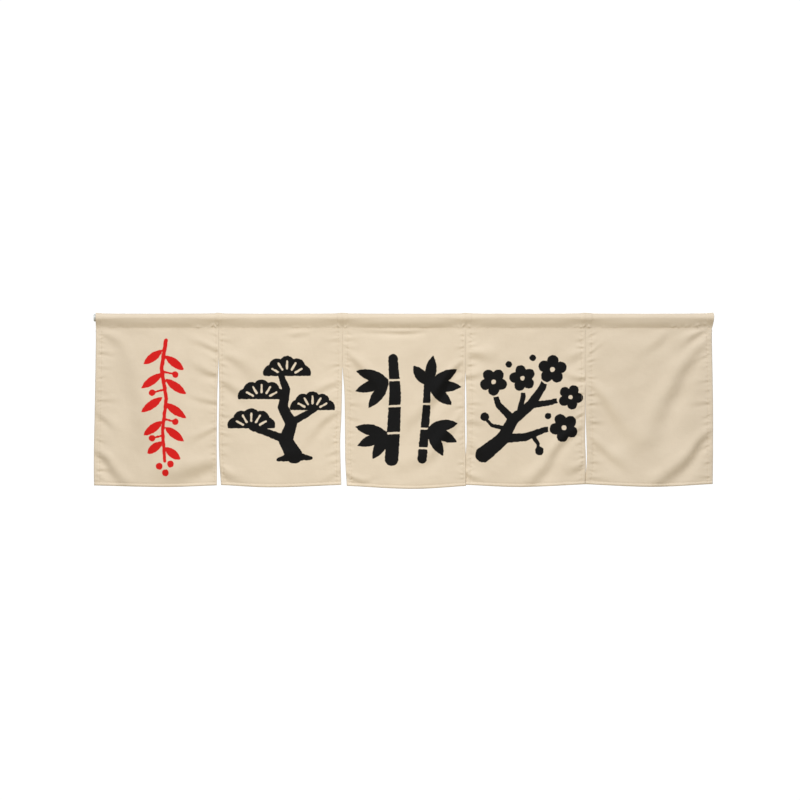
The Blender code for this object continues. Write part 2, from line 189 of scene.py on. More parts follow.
# Puckers where the side hems are sewn: how far down each starts and how far in it runs, both in
# millimetres, its depth in tenths of one, and its drop on the way in, in tenths of its run
PUCKERS = {
    (1, "left"): (
        (66, 16, 5, 3), (97, 34, 11, 1), (135, 24, 7, 2), (163, 14, 5, 0), (204, 18, 5, 1),
        (228, 42, 11, 0), (338, 16, 7, 3), (418, 26, 12, 1), (440, 16, 6, 4),
    ),
    (1, "right"): (
        (48, 18, 5, -4), (118, 14, 5, -3), (190, 16, 4, -3), (262, 15, 5, 0), (284, 12, 5, 3),
        (352, 13, 8, 2), (374, 10, 7, 3), (390, 14, 5, 3),
    ),
    (2, "left"): (
        (46, 12, 4, 2), (62, 26, 8, 1), (131, 20, 8, 2), (152, 12, 5, 3), (240, 14, 6, 2),
        (270, 28, 9, 1), (297, 14, 5, 2), (321, 24, 8, 1), (348, 20, 8, 0), (376, 13, 6, 2),
    ),
    (2, "right"): (
        (38, 18, 5, 1), (63, 32, 9, 0), (96, 13, 5, 1), (130, 26, 9, 2), (220, 14, 5, 3),
        (301, 14, 6, 2), (344, 13, 7, 2), (371, 26, 11, 3), (396, 16, 8, 2),
    ),
    (3, "left"): (
        (42, 14, 5, 0), (60, 24, 8, 0), (82, 24, 7, 1), (132, 13, 6, 3), (160, 14, 6, 2),
        (202, 14, 5, 2), (238, 36, 9, 1), (277, 26, 8, 2), (312, 15, 6, 3), (350, 16, 5, 3),
        (388, 14, 5, 3),
    ),
    (3, "right"): (
        (48, 12, 6, 1), (82, 20, 9, 1), (105, 12, 6, 2), (172, 24, 8, 2), (205, 12, 6, 2),
        (246, 24, 11, 1), (330, 15, 6, 4), (400, 16, 9, 2), (428, 14, 8, 1), (441, 20, 8, 0),
    ),
    (4, "left"): (
        (45, 18, 9, -2), (80, 20, 10, -2), (131, 16, 12, -1), (186, 12, 5, 1), (201, 15, 6, 1),
        (237, 26, 10, 0), (262, 12, 6, 1), (318, 14, 6, 2), (372, 14, 7, 4), (396, 14, 6, 4),
    ),
    (4, "right"): (
        (36, 16, 9, 0), (62, 13, 8, 1), (81, 16, 10, 0), (140, 15, 9, 2), (188, 13, 7, 2),
        (209, 26, 9, 1), (226, 12, 7, 2), (244, 12, 6, 2), (268, 24, 14, 5), (345, 16, 10, 3),
        (366, 14, 6, 2), (384, 18, 9, 3),
    ),
    (5, "left"): (
        (47, 18, 8, -5), (72, 12, 5, -3), (95, 30, 8, -7), (118, 16, 7, -2), (165, 16, 9, 0),
        (212, 14, 9, 0), (238, 22, 13, 0), (258, 12, 6, 1), (288, 30, 12, 1), (312, 12, 5, 3),
        (362, 14, 7, 3), (398, 22, 9, 1), (420, 12, 7, 3), (441, 44, 12, 1),
    ),
    (5, "right"): (
        (52, 13, 5, 3), (104, 28, 8, 5), (134, 14, 5, 3), (174, 30, 6, 2), (200, 14, 5, 1),
        (234, 48, 11, 1), (270, 18, 7, 3), (290, 14, 7, 2), (352, 20, 11, 5), (381, 14, 6, 2),
        (400, 15, 7, 1), (438, 26, 10, 0),
    ),
}
PUCKER_WIDTH = 0.0034
NARROWEST_PUCKER = 0.8
REACH_FOR_FULL_WIDTH = 60
PUCKER_SPREAD = 0.6
PUCKER_IN_HEM = 0.6

# Small uneven tucks between them: the limits of their reach, width, height, tilt and spacing
TUCK_LIMITS = ((0.004, 0.010), (0.0020, 0.0034), (0.0002, 0.0007), (-0.5, 0.5), (0.006, 0.015))
TUCK_MARGIN = 0.008

# Tucks on the pocket: the place along the curtain and above the seam, the width and height, all in
# millimetres, then how far it stands out and its lean, in tenths
TUCKED_IN = (
    (-568, 4, 6, 4, 16, 12), (-560, 2, 4, 3, 12, -6), (-526, 9, 3, 5, 19, 7),
    (-519, 5, 3, 4, 21, -8), (-513, 11, 3, 4, 13, 4), (-295, 3, 9, 3, 12, 0), (-262, 3, 6, 3, 9, 6),
    (-190, 4, 5, 4, 15, 8), (-181, 8, 3, 4, 15, -5), (-158, 5, 4, 4, 13, 6), (-60, 3, 12, 3, 8, 0),
    (60, 4, 10, 4, 10, 5), (150, 4, 5, 4, 13, -6), (163, 9, 3, 4, 18, 6), (180, 5, 4, 4, 15, -7),
    (300, 3, 10, 3, 8, 0), (473, 5, 6, 4, 15, 9), (486, 4, 4, 3, 16, -4), (495, 7, 3, 4, 19, 5),
    (510, 5, 4, 4, 16, -6), (561, 3, 5, 3, 12, 0), (580, 3, 4, 3, 11, 3), (740, 6, 5, 5, 16, 7),
    (756, 4, 4, 4, 14, -5), (777, 6, 5, 5, 16, 6), (806, 9, 6, 4, 17, 9), (828, 12, 4, 5, 13, -4),
)

# Gathers above the seam: the limits of their width, reach, height, lean and spacing. They stand
# higher near the joins.
GATHER_LIMITS = ((0.0025, 0.0060), (0.004, 0.010), (0.0002, 0.0010), (-0.8, 0.8), (0.010, 0.034))
GATHER_FROM_LEFT = 0.008
GATHER_FROM_RIGHT = 0.006
JOIN_GATHER = 1.2
JOIN_GATHER_REACH = 0.02

# The pocket's thicker cloth at the joins, how far in it may dip, and how far from its seams the
# relief fades
JOIN_BULK = 0.0005
JOIN_BULK_REACH = 0.010
SLEEVE_DIP = 0.00015
FRONT_SEAM_FADE = 0.0015
BACK_SEAM_FADE = 0.004

# Unevenness: its height, its shortest and longest wave, and how many waves make it
SLACK_WAVES = (0.00060, 0.050, 0.130, 9)
CRUMPLE_WAVES = (0.00008, 0.014, 0.034, 14)
SLEEVE_WAVES = (0.00022, 0.050, 0.150, 7)
BRUSH_WAVES = (0.7, 6.0, 22.0, 10)

# Mesh density of the cloth: closer together in the bands along its edges
FINE_PITCH = 0.0011
PRINTED_PITCH = 0.0023
PLAIN_PITCH = 0.0027
HEM_BAND = 0.018
SEAM_BAND = 0.006
BOTTOM_BAND = 0.014
ARC_STEPS = 34
STRAIGHT_STEPS = 9
ANGLE_STEPS = 40
WIDEST_ANGLE = 1.2

# Thread. A stitch is four rings of thread: the place along it, the size and the rise of each, the
# last two in thread radii.
STITCH_PITCH = 0.0042
STITCH_LENGTH = 0.0031
FIRST_STITCH = 0.003
PAST_LAST_STITCH = 0.002
THREAD_RADIUS = 0.00028
THREAD_SIDES = 5
STITCH_RINGS = ((0.0, 0.35, -0.6), (0.25, 1.0, 0.45), (0.75, 1.0, 0.45), (1.0, 0.35, -0.6))

# Print: the panels meshed more finely for it, the distance that stands for no ink, half the blur of
# its edge in millimetres, and how much of it shows through to the back
FINELY_MESHED = (2, 3, 4)
NO_INK = 50.0
INK_BLUR = 0.6
INK_BEHIND = 0.30

# Colours, linear
CLOTH_SHADE = (0.700, 0.598, 0.446)
CLOTH_TINT = (0.745, 0.640, 0.482)
# Darker thread colour: the slubs' own tone, and painted shade in the low places of the weave
SLUB_TONE_AND_WEAVE_SHADE = (0.560, 0.455, 0.318)
THREAD_DARK = (0.520, 0.400, 0.265)
THREAD_LIGHT = (0.640, 0.510, 0.350)
ROD_SHADE = (0.52, 0.54, 0.50)
ROD_TINT = (0.62, 0.64, 0.60)
ROD_WORN = (0.70, 0.70, 0.66)
INK_BLACK = (0.003, 0.003, 0.003)
INK_RED = (0.640, 0.010, 0.008)
SHEEN_TINT = (1.0, 0.93, 0.82)
FLOOR_COLOUR = (0.68, 0.65, 0.585)

# Grain of the finishes: how the noise is scaled along each axis, its scale and its detail
GRAIN = {
    "weft": ((0.05, 1.0, 1.0), 1500.0, 1.0),
    "warp": ((1.0, 1.0, 0.05), 1500.0, 1.0),
    "tone": ((1.0, 1.0, 1.0), 9.0, 2.0),
    "slub": ((0.04, 1.0, 1.0), 420.0, 2.0),
    "twist": ((1.0, 1.0, 1.0), 1800.0, 1.0),
    "drawn": ((0.02, 1.0, 1.0), 900.0, 2.0),
    "worn": ((1.0, 1.0, 1.0), 60.0, 3.0),
}

# Camera and floor
IMAGE_WIDTH_AT_CURTAIN = 2.2008
SENSOR_WIDTH = 36.0
CAMERA_DISTANCE = 8.0
CAMERA_X = -0.011
CAMERA_Z = -0.2260
FLOOR_DROP = 2.0
FLOOR_RADIUS = 4.5
FLOOR_SIDES = 96

# Lights
Light = namedtuple("Light", "name place target size power colour")
WARM = (1.0, 0.93, 0.78)
COOL = (0.96, 1.0, 1.12)
LIGHTS = (
    Light("key", (-0.30, -5.15, 5.9), (-0.10, 0.0, -0.2), 2.6, 580.0, COOL),
    Light("front", (-0.15, -1.6, -0.30), (-0.15, 0.0, -0.30), 0.5, 6.0, WARM),
    Light("back", (0.6, 3.2, 1.6), (0.0, 0.0, -0.25), 2.0, 70.0, WARM),
)
WORLD_BELOW = (0.08, 0.05, 0.005)
WORLD_ABOVE = (0.22, 0.20, 0.165)
WHITE_BEHIND = (1.05, 1.05, 1.05)


def smooth_through(knots, at):
    """The heights at these places of a smooth curve through (place, height) knots in order."""
    at = np.clip(np.asarray(at, float), knots[0][0], knots[-1][0])
    slopes = []
    for i in range(len(knots)):
        before = knots[max(i - 1, 0)]
        after = knots[min(i + 1, len(knots) - 1)]
        slopes.append((after[1] - before[1]) / (after[0] - before[0]))
    heights = np.zeros_like(at)
    for i, ((place, height), (next_place, next_height)) in enumerate(zip(knots, knots[1:])):
        span = next_place - place
        t = (at - place) / span
        curve = (
            (2 * t**3 - 3 * t**2 + 1) * height
            + (t**3 - 2 * t**2 + t) * span * slopes[i]
            + (3 * t**2 - 2 * t**3) * next_height
            + (t**3 - t**2) * span * slopes[i + 1]
        )
        heights = np.where((at >= place) & (at <= next_place), curve, heights)
    return heights


def bell(distance, reach):
    """1 at no distance, falling smoothly to almost 0 at twice the reach."""
    return np.exp(-((distance / reach) ** 2))


def edge_line(number, side):
    """The line on which a panel's left or right edge is sewn."""
    return EDGE_LINES[number - 1 if side == "left" else number]


def edge_x(number, side, drop):
    """Where a panel's left or right edge runs at these drops below the rod's axis."""
    line = edge_line(number, side)
    shifts, inward = (line.right, 1) if side == "left" else (line.left, -1)
    knots = [(line.slit_drop * MM, 0.0)]
    knots += [(place, shift * MM) for place, shift in zip(EDGE_DROPS, shifts)]
    return line.join_x * MM + inward * SEWN_GAP / 2 + smooth_through(knots, drop)


def seam_ends(number):
    """Where along the rod the panel's left and right edges are at the seam."""
    return [float(edge_x(number, side, SEAM_DROP)) for side in ("left", "right")]


def bottom_drop(number, across):
    """The drop of the bottom edge at these shares of the panel's width."""
    hang = HANGS[number - 1]
    knots = (
        (0.0, hang.left_drop * MM),
        (hang.lowest_at, hang.lowest_drop * MM),
        (1.0, hang.right_drop * MM),
    )
    return smooth_through(knots, across)


def fold_line(fold):
    """Points (x, drop, width, depth) along the fold's smooth line."""
    last = len(fold.line) - 1
    t = np.arange(last * LINE_STEPS + 1) / LINE_STEPS
    x, drop = (smooth_through(list(enumerate(places)), t) for places in zip(*fold.line))
    width = fold.widths[0] + (fold.widths[1] - fold.widths[0]) * t / last
    depth = smooth_through([(last * i / 2, depth) for i, depth in enumerate(fold.depths)], t)
    return np.stack([x, drop, width, depth], axis=1) * MM


def fold_depth(fold, x, drop):
    """How far back this fold moves the cloth at these places."""
    nearest = np.full(x.shape, 1e3)
    above = width = depth = np.zeros(x.shape)
    line = fold_line(fold)
    for (x0, drop0, width0, depth0), (x1, drop1, width1, depth1) in zip(line, line[1:]):
        along_x, along_z = x1 - x0, drop0 - drop1
        length = math.hypot(along_x, along_z)
        to_x, to_z = x - x0, drop0 - drop
        share = np.clip((to_x * along_x + to_z * along_z) / length**2, 0.0, 1.0)
        away = np.hypot(to_x - along_x * share, to_z - along_z * share)
        closer = away < nearest
        nearest = np.where(closer, away, nearest)
        above = np.where(closer, (to_z * along_x - to_x * along_z) / length, above)
        width = np.where(closer, width0 + (width1 - width0) * share, width)
        depth = np.where(closer, depth0 + (depth1 - depth0) * share, depth)
    rightwards = 1 if fold.line[-1][0] > fold.line[0][0] else -1
    return -depth * rightwards * above / width * np.exp(0.5 - (nearest / width) ** 2 / 2)


def overlaps(line):
    """Whether the edges on this line cross at the hem, one in front of the other."""
    return line.left[-1] > line.right[-1] and line.slit_drop > EDGE_LINES[0].slit_drop


def edge_freedom(line, drop, from_edge):
    """0 on a sewn join, rising to 1 away from it, and below its slit unless the edges overlap."""
    away = 1.0 - bell(from_edge, JOIN_EASE)
    if overlaps(line):
        near_overlap = 1.0 - bell(from_edge, OVERLAP_EASE)
        return np.where(drop > line.slit_drop * MM, near_overlap, away)
    below_slit = np.clip((drop - line.slit_drop * MM) / SLIT_EASE, 0.0, 1.0)
    in_hem = 1.0 - HEM_HOLD * bell(from_edge, OVERLAP_EASE)
    return np.maximum(below_slit * in_hem, away)


def below_seam(drop):
    """0 at the seam under the pocket, rising to 1 a little below it."""
    return 1.0 - bell(drop - SEAM_DROP, SEAM_EASE)


def panel_depth(number, across, x, drop):
    """The front surface's place along Y, where 0 is under the rod's axis."""
    hang = HANGS[number - 1]
    left_line, right_line = EDGE_LINES[number - 1 : number + 1]
    fall = (drop - SEAM_DROP) / (HEM_DROP - SEAM_DROP)
    belly = smooth_through(((0.0, 0.0), (0.5, hang.belly_mid), (1.0, hang.belly_hem)), fall)
    depth = -belly * MM * np.sin(math.pi * across)
    depth += left_line.right_back * MM * fall**3 * (1 - across) ** 4
    depth += right_line.left_back * MM * fall**3 * across**4
    folds = sum(fold_depth(fold, x, drop) for fold in FOLDS if fold.panel == number)
    free = edge_freedom(left_line, drop, x - edge_x(number, "left", drop))
    free *= edge_freedom(right_line, drop, edge_x(number, "right", drop) - x)
    return depth + folds * below_seam(drop) * free


def waves(seed, x, drop, height, shortest, longest, count):
    """An uneven smooth surface: waves of random direction, length and phase."""
    chance = random.Random(seed)
    total = np.zeros_like(x)
    for _ in range(count):
        angle = chance.uniform(0.0, math.pi)
        length = chance.uniform(shortest, longest)
        phase = chance.uniform(0.0, 2 * math.pi)
        along = x * math.cos(angle) + drop * math.sin(angle)
        total += np.sin(2 * math.pi * along / length + phase)
    return height * (total / math.sqrt(2 * count))


def pucker(from_edge, drop, stitch, place, reach, width, height, tilt):
    """How far back one short crease that runs in from a side hem's stitching moves each point."""
    inward = from_edge - stitch
    widened = width * (1.0 + PUCKER_SPREAD * np.clip(inward / reach, 0.0, 2.0))
    away = (drop - place - tilt * inward) / widened
    outer_fade = bell(np.minimum(inward, 0.0), PUCKER_IN_HEM * stitch)
    inner_fade = bell(np.maximum(inward, 0.0), reach)
    return height * away * np.exp(0.5 - away * away / 2) * outer_fade * inner_fade


def puckers(number, side, from_edge, drop):
    """The puckers of a side hem, and the small uneven tucks between them."""
    stitch = HEM_STITCH[number - 1][side == "right"]
    total = np.zeros_like(drop)
    for place, reach, depth, fall in PUCKERS[number, side]:
        width = PUCKER_WIDTH * (NARROWEST_PUCKER + reach / REACH_FOR_FULL_WIDTH)
        height, tilt = depth / 10 * MM, fall / 10
        total += pucker(from_edge, drop, stitch, place * MM, reach * MM, width, height, tilt)
    chance = random.Random(f"tucks {number} {side}")
    place = SEAM_DROP + TUCK_MARGIN
    while place < HEM_DROP - TUCK_MARGIN:
        reach, width, height, tilt, step = (chance.uniform(*limits) for limits in TUCK_LIMITS)
        total += pucker(from_edge, drop, stitch, place, reach, width, height, tilt)
        place += step
    return total


def rounded(from_edge, radius):
    """How far back a rounded edge stands at this distance from it."""
    inside = np.clip(1.0 - from_edge / radius, 0.0, 1.0)
    return radius * (1.0 - np.sqrt(1.0 - inside * inside * STEEPEST_ROUND))


def groove(from_line):
    """How far back the cloth is drawn in at this distance from a line of stitches."""
    return GROOVE_DEPTH * bell(from_line, GROOVE_WIDTH)


def fine_relief(number, x, drop, bottom):
    """What sewing adds to the front: grooves, soft hems, rounded edges, puckers, unevenness."""
    relief = np.zeros_like(x)
    for side in ("left", "right"):
        line = edge_line(number, side)
        stitch = HEM_STITCH[number - 1][side == "right"]
        from_edge = np.abs(x - edge_x(number, side, drop))
        relief += groove(from_edge - stitch)
        relief -= HEM_PUFF * np.sin(math.pi * np.clip(from_edge / stitch, 0.0, 1.0))
        relief += puckers(number, side, from_edge, drop)
        slit_open = np.clip((drop - line.slit_drop * MM) / SLIT_ROUND_REACH, 0.0, 1.0)
        if line in (EDGE_LINES[0], EDGE_LINES[-1]):
            slit_open = np.ones_like(drop)
        relief += rounded(from_edge, JOIN_ROUND) * (1 - slit_open)
        relief += rounded(from_edge, EDGE_ROUND) * slit_open
    from_bottom = bottom - drop
    above_stitch = from_bottom - BOTTOM_STITCH
    spread = np.where(above_stitch > 0, above_stitch / BOTTOM_GROOVE_SPREAD, above_stitch)
    relief += BOTTOM_GROOVE * groove(spread)
    bead = np.clip(from_bottom / BOTTOM_STITCH, 0.0, 1.0)
    relief -= BOTTOM_BEAD * np.sin(math.pi * bead**BOTTOM_BEAD_SHAPE)
    relief += rounded(from_bottom, BOTTOM_ROUND)
    relief += sum(fold_depth(fold, x, drop) for fold in CREASES if fold.panel == number)
    relief += waves(f"slack {number}", x, drop, *SLACK_WAVES)
    relief += waves(f"crumple {number}", x, drop, *CRUMPLE_WAVES)
    return relief * below_seam(drop)


def graded(length, fine, coarse, start_band, end_band):
    """Places from 0 to length, close together in the bands at its start and its end."""
    start = np.arange(0.0, start_band, fine)
    end = length - np.arange(0.0, end_band, fine)[::-1]
    steps = round((length - start_band - end_band) / coarse)
    middle = np.linspace(start_band, length - end_band, steps + 1)
    return np.concatenate([start, middle, end])


def hem_weight(number, from_left, from_right):
    """1 in the side hems, falling to 0 just past their stitching."""
    left_stitch, right_stitch = HEM_STITCH[number - 1]
    in_left = (left_stitch + HEM_PAST_STITCH - from_left) / HEM_FADE
    in_right = (right_stitch + HEM_PAST_STITCH - from_right) / HEM_FADE
    return np.clip(np.maximum(in_left, in_right), 0.0, 1.0)


def sleeve_relief(number, x, from_seam, from_back_seam, to_join):
    """How far out the pocket's cloth stands: slack, gathers at the seam, and bulk at the joins."""
    relief = waves(f"sleeve {number}", x, from_seam, *SLEEVE_WAVES)
    chance = random.Random(f"gathers {number}")
    left, right = seam_ends(number)
    place = left + GATHER_FROM_LEFT
    while place < right - GATHER_FROM_RIGHT:
        width, reach, height, lean, step = (chance.uniform(*limits) for limits in GATHER_LIMITS)
        away = (x - place - lean * from_seam) / width
        from_join = min(place - left, right - place)
        near_join = 1.0 + JOIN_GATHER * math.exp(-from_join / JOIN_GATHER_REACH)
        relief += height * near_join * np.exp(-away * away) * bell(from_seam, reach)
        place += step
    for place, up, width, reach, out, lean in TUCKED_IN:
        along = (x - place * MM - lean / 10 * (from_seam - up * MM)) / (width * MM)
        upward = (from_seam - up * MM) / (reach * MM)
        relief += out / 10 * MM * np.exp(-along * along - upward * upward)
    relief += JOIN_BULK * bell(to_join, JOIN_BULK_REACH)
    relief = np.maximum(relief, -SLEEVE_DIP) * (1.0 - bell(from_back_seam, BACK_SEAM_FADE))
    return relief * (1.0 - bell(from_seam, FRONT_SEAM_FADE))


def outward(points):
    """Each grid point's unit normal, towards the front on the panel."""
    up = np.gradient(points, axis=0)
    right = np.gradient(points, axis=1)
    normal = np.cross(right, up)
    return normal / np.linalg.norm(normal, axis=2, keepdims=True)


def leaving_angle(radius, seam_y, ease, slack):
    """How far below level the pocket's cloth leaves the rod's curve."""
    low, high = np.zeros_like(radius), np.full_like(radius, WIDEST_ANGLE)
    for _ in range(ANGLE_STEPS):
        angle = (low + high) / 2
        height = SEAM_DROP - radius * np.sin(angle)
        steepness = np.tan(angle) + slack * math.pi / height
        reach = steepness * (np.hypot(height, ease) - ease)
        short = reach < radius * np.cos(angle) - np.abs(seam_y)
        low = np.where(short, angle, low)
        high = np.where(short, high, angle)
    return angle


def straight_part(angle, radius, seam_y, ease, slack):
    """The pocket's line from the seam up to where it meets the rod's curve, that end left out."""
    height = SEAM_DROP - radius * np.sin(angle)
    steepness = np.tan(angle) + slack * math.pi / height
    points = []
    for i in range(STRAIGHT_STEPS):
        t = i / STRAIGHT_STEPS
        out = steepness * (np.hypot(height * t, ease) - ease) + slack * math.sin(math.pi * t)
        points.append((seam_y + np.sign(seam_y) * out, height * t - SEAM_DROP))
    return points


def sleeve_points(number, from_left, width):
    """The pocket's outer surface, from the front seam up, over and down to the turned edge."""
    across = from_left / width
    thickness = CLOTH + (HEM_CLOTH - CLOTH) * hem_weight(number, from_left, width - from_left)
    to_join = np.minimum(from_left, width - from_left)
    radius = ROD_DIAMETER / 2 + GAP + thickness + JOIN_LIFT * np.exp(-to_join / JOIN_LIFT_REACH)
    front_y = np.full_like(from_left, -(CLOTH + GAP / 2))
    back_y = front_y + 2 * thickness + GAP
    hang = HANGS[number - 1]
    loose = 1.0 - bell(to_join, JOIN_POCKET_REACH)
    ease = JOIN_POCKET_EASE + (hang.ease * MM - JOIN_POCKET_EASE) * loose
    slack = hang.slack * MM * loose
    front = (radius, front_y, ease, slack)
    back = (radius, back_y, ease, slack)
    before = leaving_angle(*front)
    behind = leaving_angle(*back)
    arc = []
    for i in range(ARC_STEPS + 1):
        angle = math.pi + before - (math.pi + before + behind) * i / ARC_STEPS
        arc.append((radius * np.cos(angle), radius * np.sin(angle)))
    section = straight_part(before, *front) + arc + straight_part(behind, *back)[::-1]
    left, right = seam_ends(number)
    y = np.array([row[0] for row in section])
    z = np.array([row[1] for row in section])
    x = np.broadcast_to(left + (right - left) * across, y.shape).copy()
    if number == len(HANGS):
        rise = np.clip((z + SEAM_DROP) / (SEAM_DROP + ROD_DIAMETER / 2), 0.0, 1.0)
        near_end = np.maximum(0.0, 1 - (right - x) / END_FLARE_REACH)
        x += END_FLARE * rise**0.7 * (1 - END_FLARE_ROUND * rise**6) * near_end**2
    points = np.stack([x, y, z], axis=2)
    steps = np.linalg.norm(np.diff(points[:, :, 1:], axis=0), axis=2)
    from_seam = np.concatenate([np.zeros((1, len(from_left))), np.cumsum(steps, axis=0)])
    from_back_seam = from_seam[-1] - from_seam
    out = sleeve_relief(number, x, from_seam, from_back_seam, to_join)
    return points + sleeve_normal(points) * out[:, :, None]


def sleeve_normal(points):
    """Outward from the pocket's surface, square to the rod."""
    up = np.gradient(points, axis=0)
    normal = np.stack([np.zeros_like(up[:, :, 0]), -up[:, :, 2], up[:, :, 1]], axis=2)
    return normal / np.linalg.norm(normal, axis=2, keepdims=True)


# A panel's outer surface: a grid of points from the bottom edge up over the rod and down behind,
# their hem weights and distances to the print, the rows in front, and the bottom edge's drops
Surface = namedtuple("Surface", "points weight ink front_rows bottom")


def panel_surface(number):
    """A panel's Surface."""
    left, right = seam_ends(number)
    width = right - left
    pitch = PRINTED_PITCH if number in FINELY_MESHED else PLAIN_PITCH
    from_left = graded(width, FINE_PITCH, pitch, HEM_BAND, HEM_BAND)
    across = from_left / width
    bottom = bottom_drop(number, across)
    nominal = HEM_DROP - SEAM_DROP
    places = graded(nominal, FINE_PITCH, pitch, SEAM_BAND, BOTTOM_BAND)
    main_length = nominal - BOTTOM_BAND
    rows = []
    for place in places[:0:-1]:
        stretched = SEAM_DROP + place * (bottom - BOTTOM_BAND - SEAM_DROP) / main_length
        rows.append(np.where(place < main_length, stretched, bottom - (nominal - place)))
    drop = np.array(rows)
    edge_left = edge_x(number, "left", drop)
    edge_right = edge_x(number, "right", drop)
    x = edge_left + (edge_right - edge_left) * across
    front_y = -(CLOTH + GAP / 2)
    y = front_y + panel_depth(number, across, x, drop) + fine_relief(number, x, drop, bottom)
    front = np.stack([x, y, -drop], axis=2)
    sleeve = sleeve_points(number, from_left, width)
    turned = []
    for i in range(1, STRAIGHT_STEPS):
        turned_drop = np.full_like(from_left, SEAM_DROP + TURNED_EDGE * i / (STRAIGHT_STEPS - 1))
        turned_x = sleeve[-1, :, 0]
        moved = panel_depth(number, across, turned_x, turned_drop)
        moved = moved + fine_relief(number, turned_x, turned_drop, bottom)
        turned.append(np.stack([turned_x, sleeve[-1, :, 1] + moved, -turned_drop], axis=1))
    points = np.concatenate([front, sleeve, np.array(turned)])
    in_sides = hem_weight(number, from_left, width - from_left)
    weight = np.broadcast_to(in_sides, points.shape[:2]).copy()
    in_bottom = np.clip((BOTTOM_STITCH + HEM_PAST_STITCH - (bottom - drop)) / HEM_FADE, 0.0, 1.0)
    weight[: len(front)] = np.maximum(in_sides, in_bottom)
    ink = np.full(points.shape[:2], NO_INK)
    if number in MOTIFS:
        centre = left + width / 2
        ink[: len(front)] = MOTIFS[number]((x - centre) / MM, drop / MM)
    return Surface(points, weight, ink, len(front), bottom)


# The motifs are drawn in millimetres, from the panel's middle and down from the rod's axis. Each
# function here gives the distance to a shape at these places, below 0 inside it.


def stroke(x, drop, *points):
    """A brush stroke through (x, drop, radius) points."""
    nearest = np.full_like(x, 1e3)
    for (x0, d0, r0), (x1, d1, r1) in zip(points, points[1:]):
        ax, ad = x1 - x0, d1 - d0
        t = np.clip(((x - x0) * ax + (drop - d0) * ad) / (ax * ax + ad * ad), 0.0, 1.0)
        away = np.hypot(x - x0 - ax * t, drop - d0 - ad * t) - (r0 + (r1 - r0) * t)
        nearest = np.minimum(nearest, away)
    return nearest


def disc(x, drop, centre_x, centre_drop, radius):
    """A round dot."""
    return np.hypot(x - centre_x, drop - centre_drop) - radius


def merged(shapes):
    """All of these shapes as one."""
    return np.minimum.reduce(list(shapes))


def leaf(x, drop, root, tip, half_width):
    """A pointed leaf from its root to its tip."""
    ax, ad = tip[0] - root[0], tip[1] - root[1]
    length = math.hypot(ax, ad)
    radius = (length**2 / 4 + half_width**2) / (2 * half_width)
    offset = radius - half_width
    mid_x, mid_d = (root[0] + tip[0]) / 2, (root[1] + tip[1]) / 2
    side_x, side_d = -ad / length, ax / length
    first = np.hypot(x - mid_x - side_x * offset, drop - mid_d - side_d * offset)
    second = np.hypot(x - mid_x + side_x * offset, drop - mid_d + side_d * offset)
    return np.maximum(first, second) - radius


def brushed(x, drop, distance, seed):
    """A shape with the slight unevenness of a brushed edge."""
    return distance + waves(seed, x, drop, *BRUSH_WAVES)


def pine_pad(x, drop, centre_x, base_drop, half, height):
    """One cloud of needles: lobes over a flat base, parted by needle lines."""
    low = base_drop - 9
    pad = stroke(x, drop, (centre_x - half * 0.7, low, 15), (centre_x + half * 0.7, low, 15))
    for i in range(5):
        turn = math.pi * (0.08 + 0.84 * i / 4)
        lobe_x = centre_x - math.cos(turn) * half * 0.68
        lobe_drop = base_drop - math.sin(turn) * height * 0.55
        pad = np.minimum(pad, disc(x, drop, lobe_x, lobe_drop, half * 0.34))
    pad = np.maximum(pad, drop - base_drop)
    for i in range(5):
        turn = math.pi * (0.16 + 0.68 * i / 4)
        reach_x, reach_d = math.cos(turn) * half, math.sin(turn) * height
        near = (centre_x + reach_x * 0.40, base_drop - reach_d * 0.34, 3.0)
        far = (centre_x + reach_x * 0.70, base_drop - reach_d * 0.68, 2.6)
        pad = np.maximum(pad, -stroke(x, drop, near, far))
    return pad


def pine(x, drop):
    """A windswept pine: a bent trunk with four clouds of needles."""
    trunk = ((38, 378, 23), (14, 338, 19), (30, 292, 16), (6, 246, 14), (16, 196, 11), (0, 156, 8))
    limbs = (
        ((12, 334, 12), (-40, 314, 10), (-80, 302, 8)),
        ((26, 290, 11), (70, 266, 9), (94, 252, 7)),
        ((38, 380, 14), (84, 386, 5)),
        ((28, 382, 13), (-6, 390, 5)),
    )
    pads = ((-80, 304, 66, 60), (88, 254, 62, 56), (-52, 224, 66, 58), (18, 160, 66, 60))
    shapes = [stroke(x, drop, *line) for line in (trunk, *limbs)]
    shapes += [pine_pad(x, drop, *pad) for pad in pads]
    return brushed(x, drop, merged(shapes), "pine")


def bamboo(x, drop):
    """Two stalks of bamboo with fans of leaves."""
    stalks = (
        ((-34, 388, 19), (-28, 300, 18), (-24, 208, 16), (-30, 112, 13)),
        ((50, 388, 13), (56, 320, 12), (62, 250, 11), (64, 180, 9)),
    )
    shape = merged(stroke(x, drop, *stalk) for stalk in stalks)
    gaps = [((-54, node + 2, 2.8), (0, node, 2.8)) for node in (170, 242, 316)]
    gaps += [((36, node, 2.6), (80, node + 2, 2.6)) for node in (236, 304, 358)]
    shape = np.maximum(shape, -merged(stroke(x, drop, *gap) for gap in gaps))
    fans = (
        ((68, 186), ((146, 142), (158, 190), (132, 240), (80, 104), (26, 132))),
        ((-42, 172), ((-132, 146), (-134, 202), (-98, 248))),
        ((-44, 318), ((-134, 300), (-128, 352), (-86, 388))),
        ((66, 302), ((148, 290), (146, 342), (108, 380))),
    )
    leaves = [leaf(x, drop, root, tip, 15.5) for root, tips in fans for tip in tips]
    return brushed(x, drop, merged([shape, *leaves]), "bamboo")


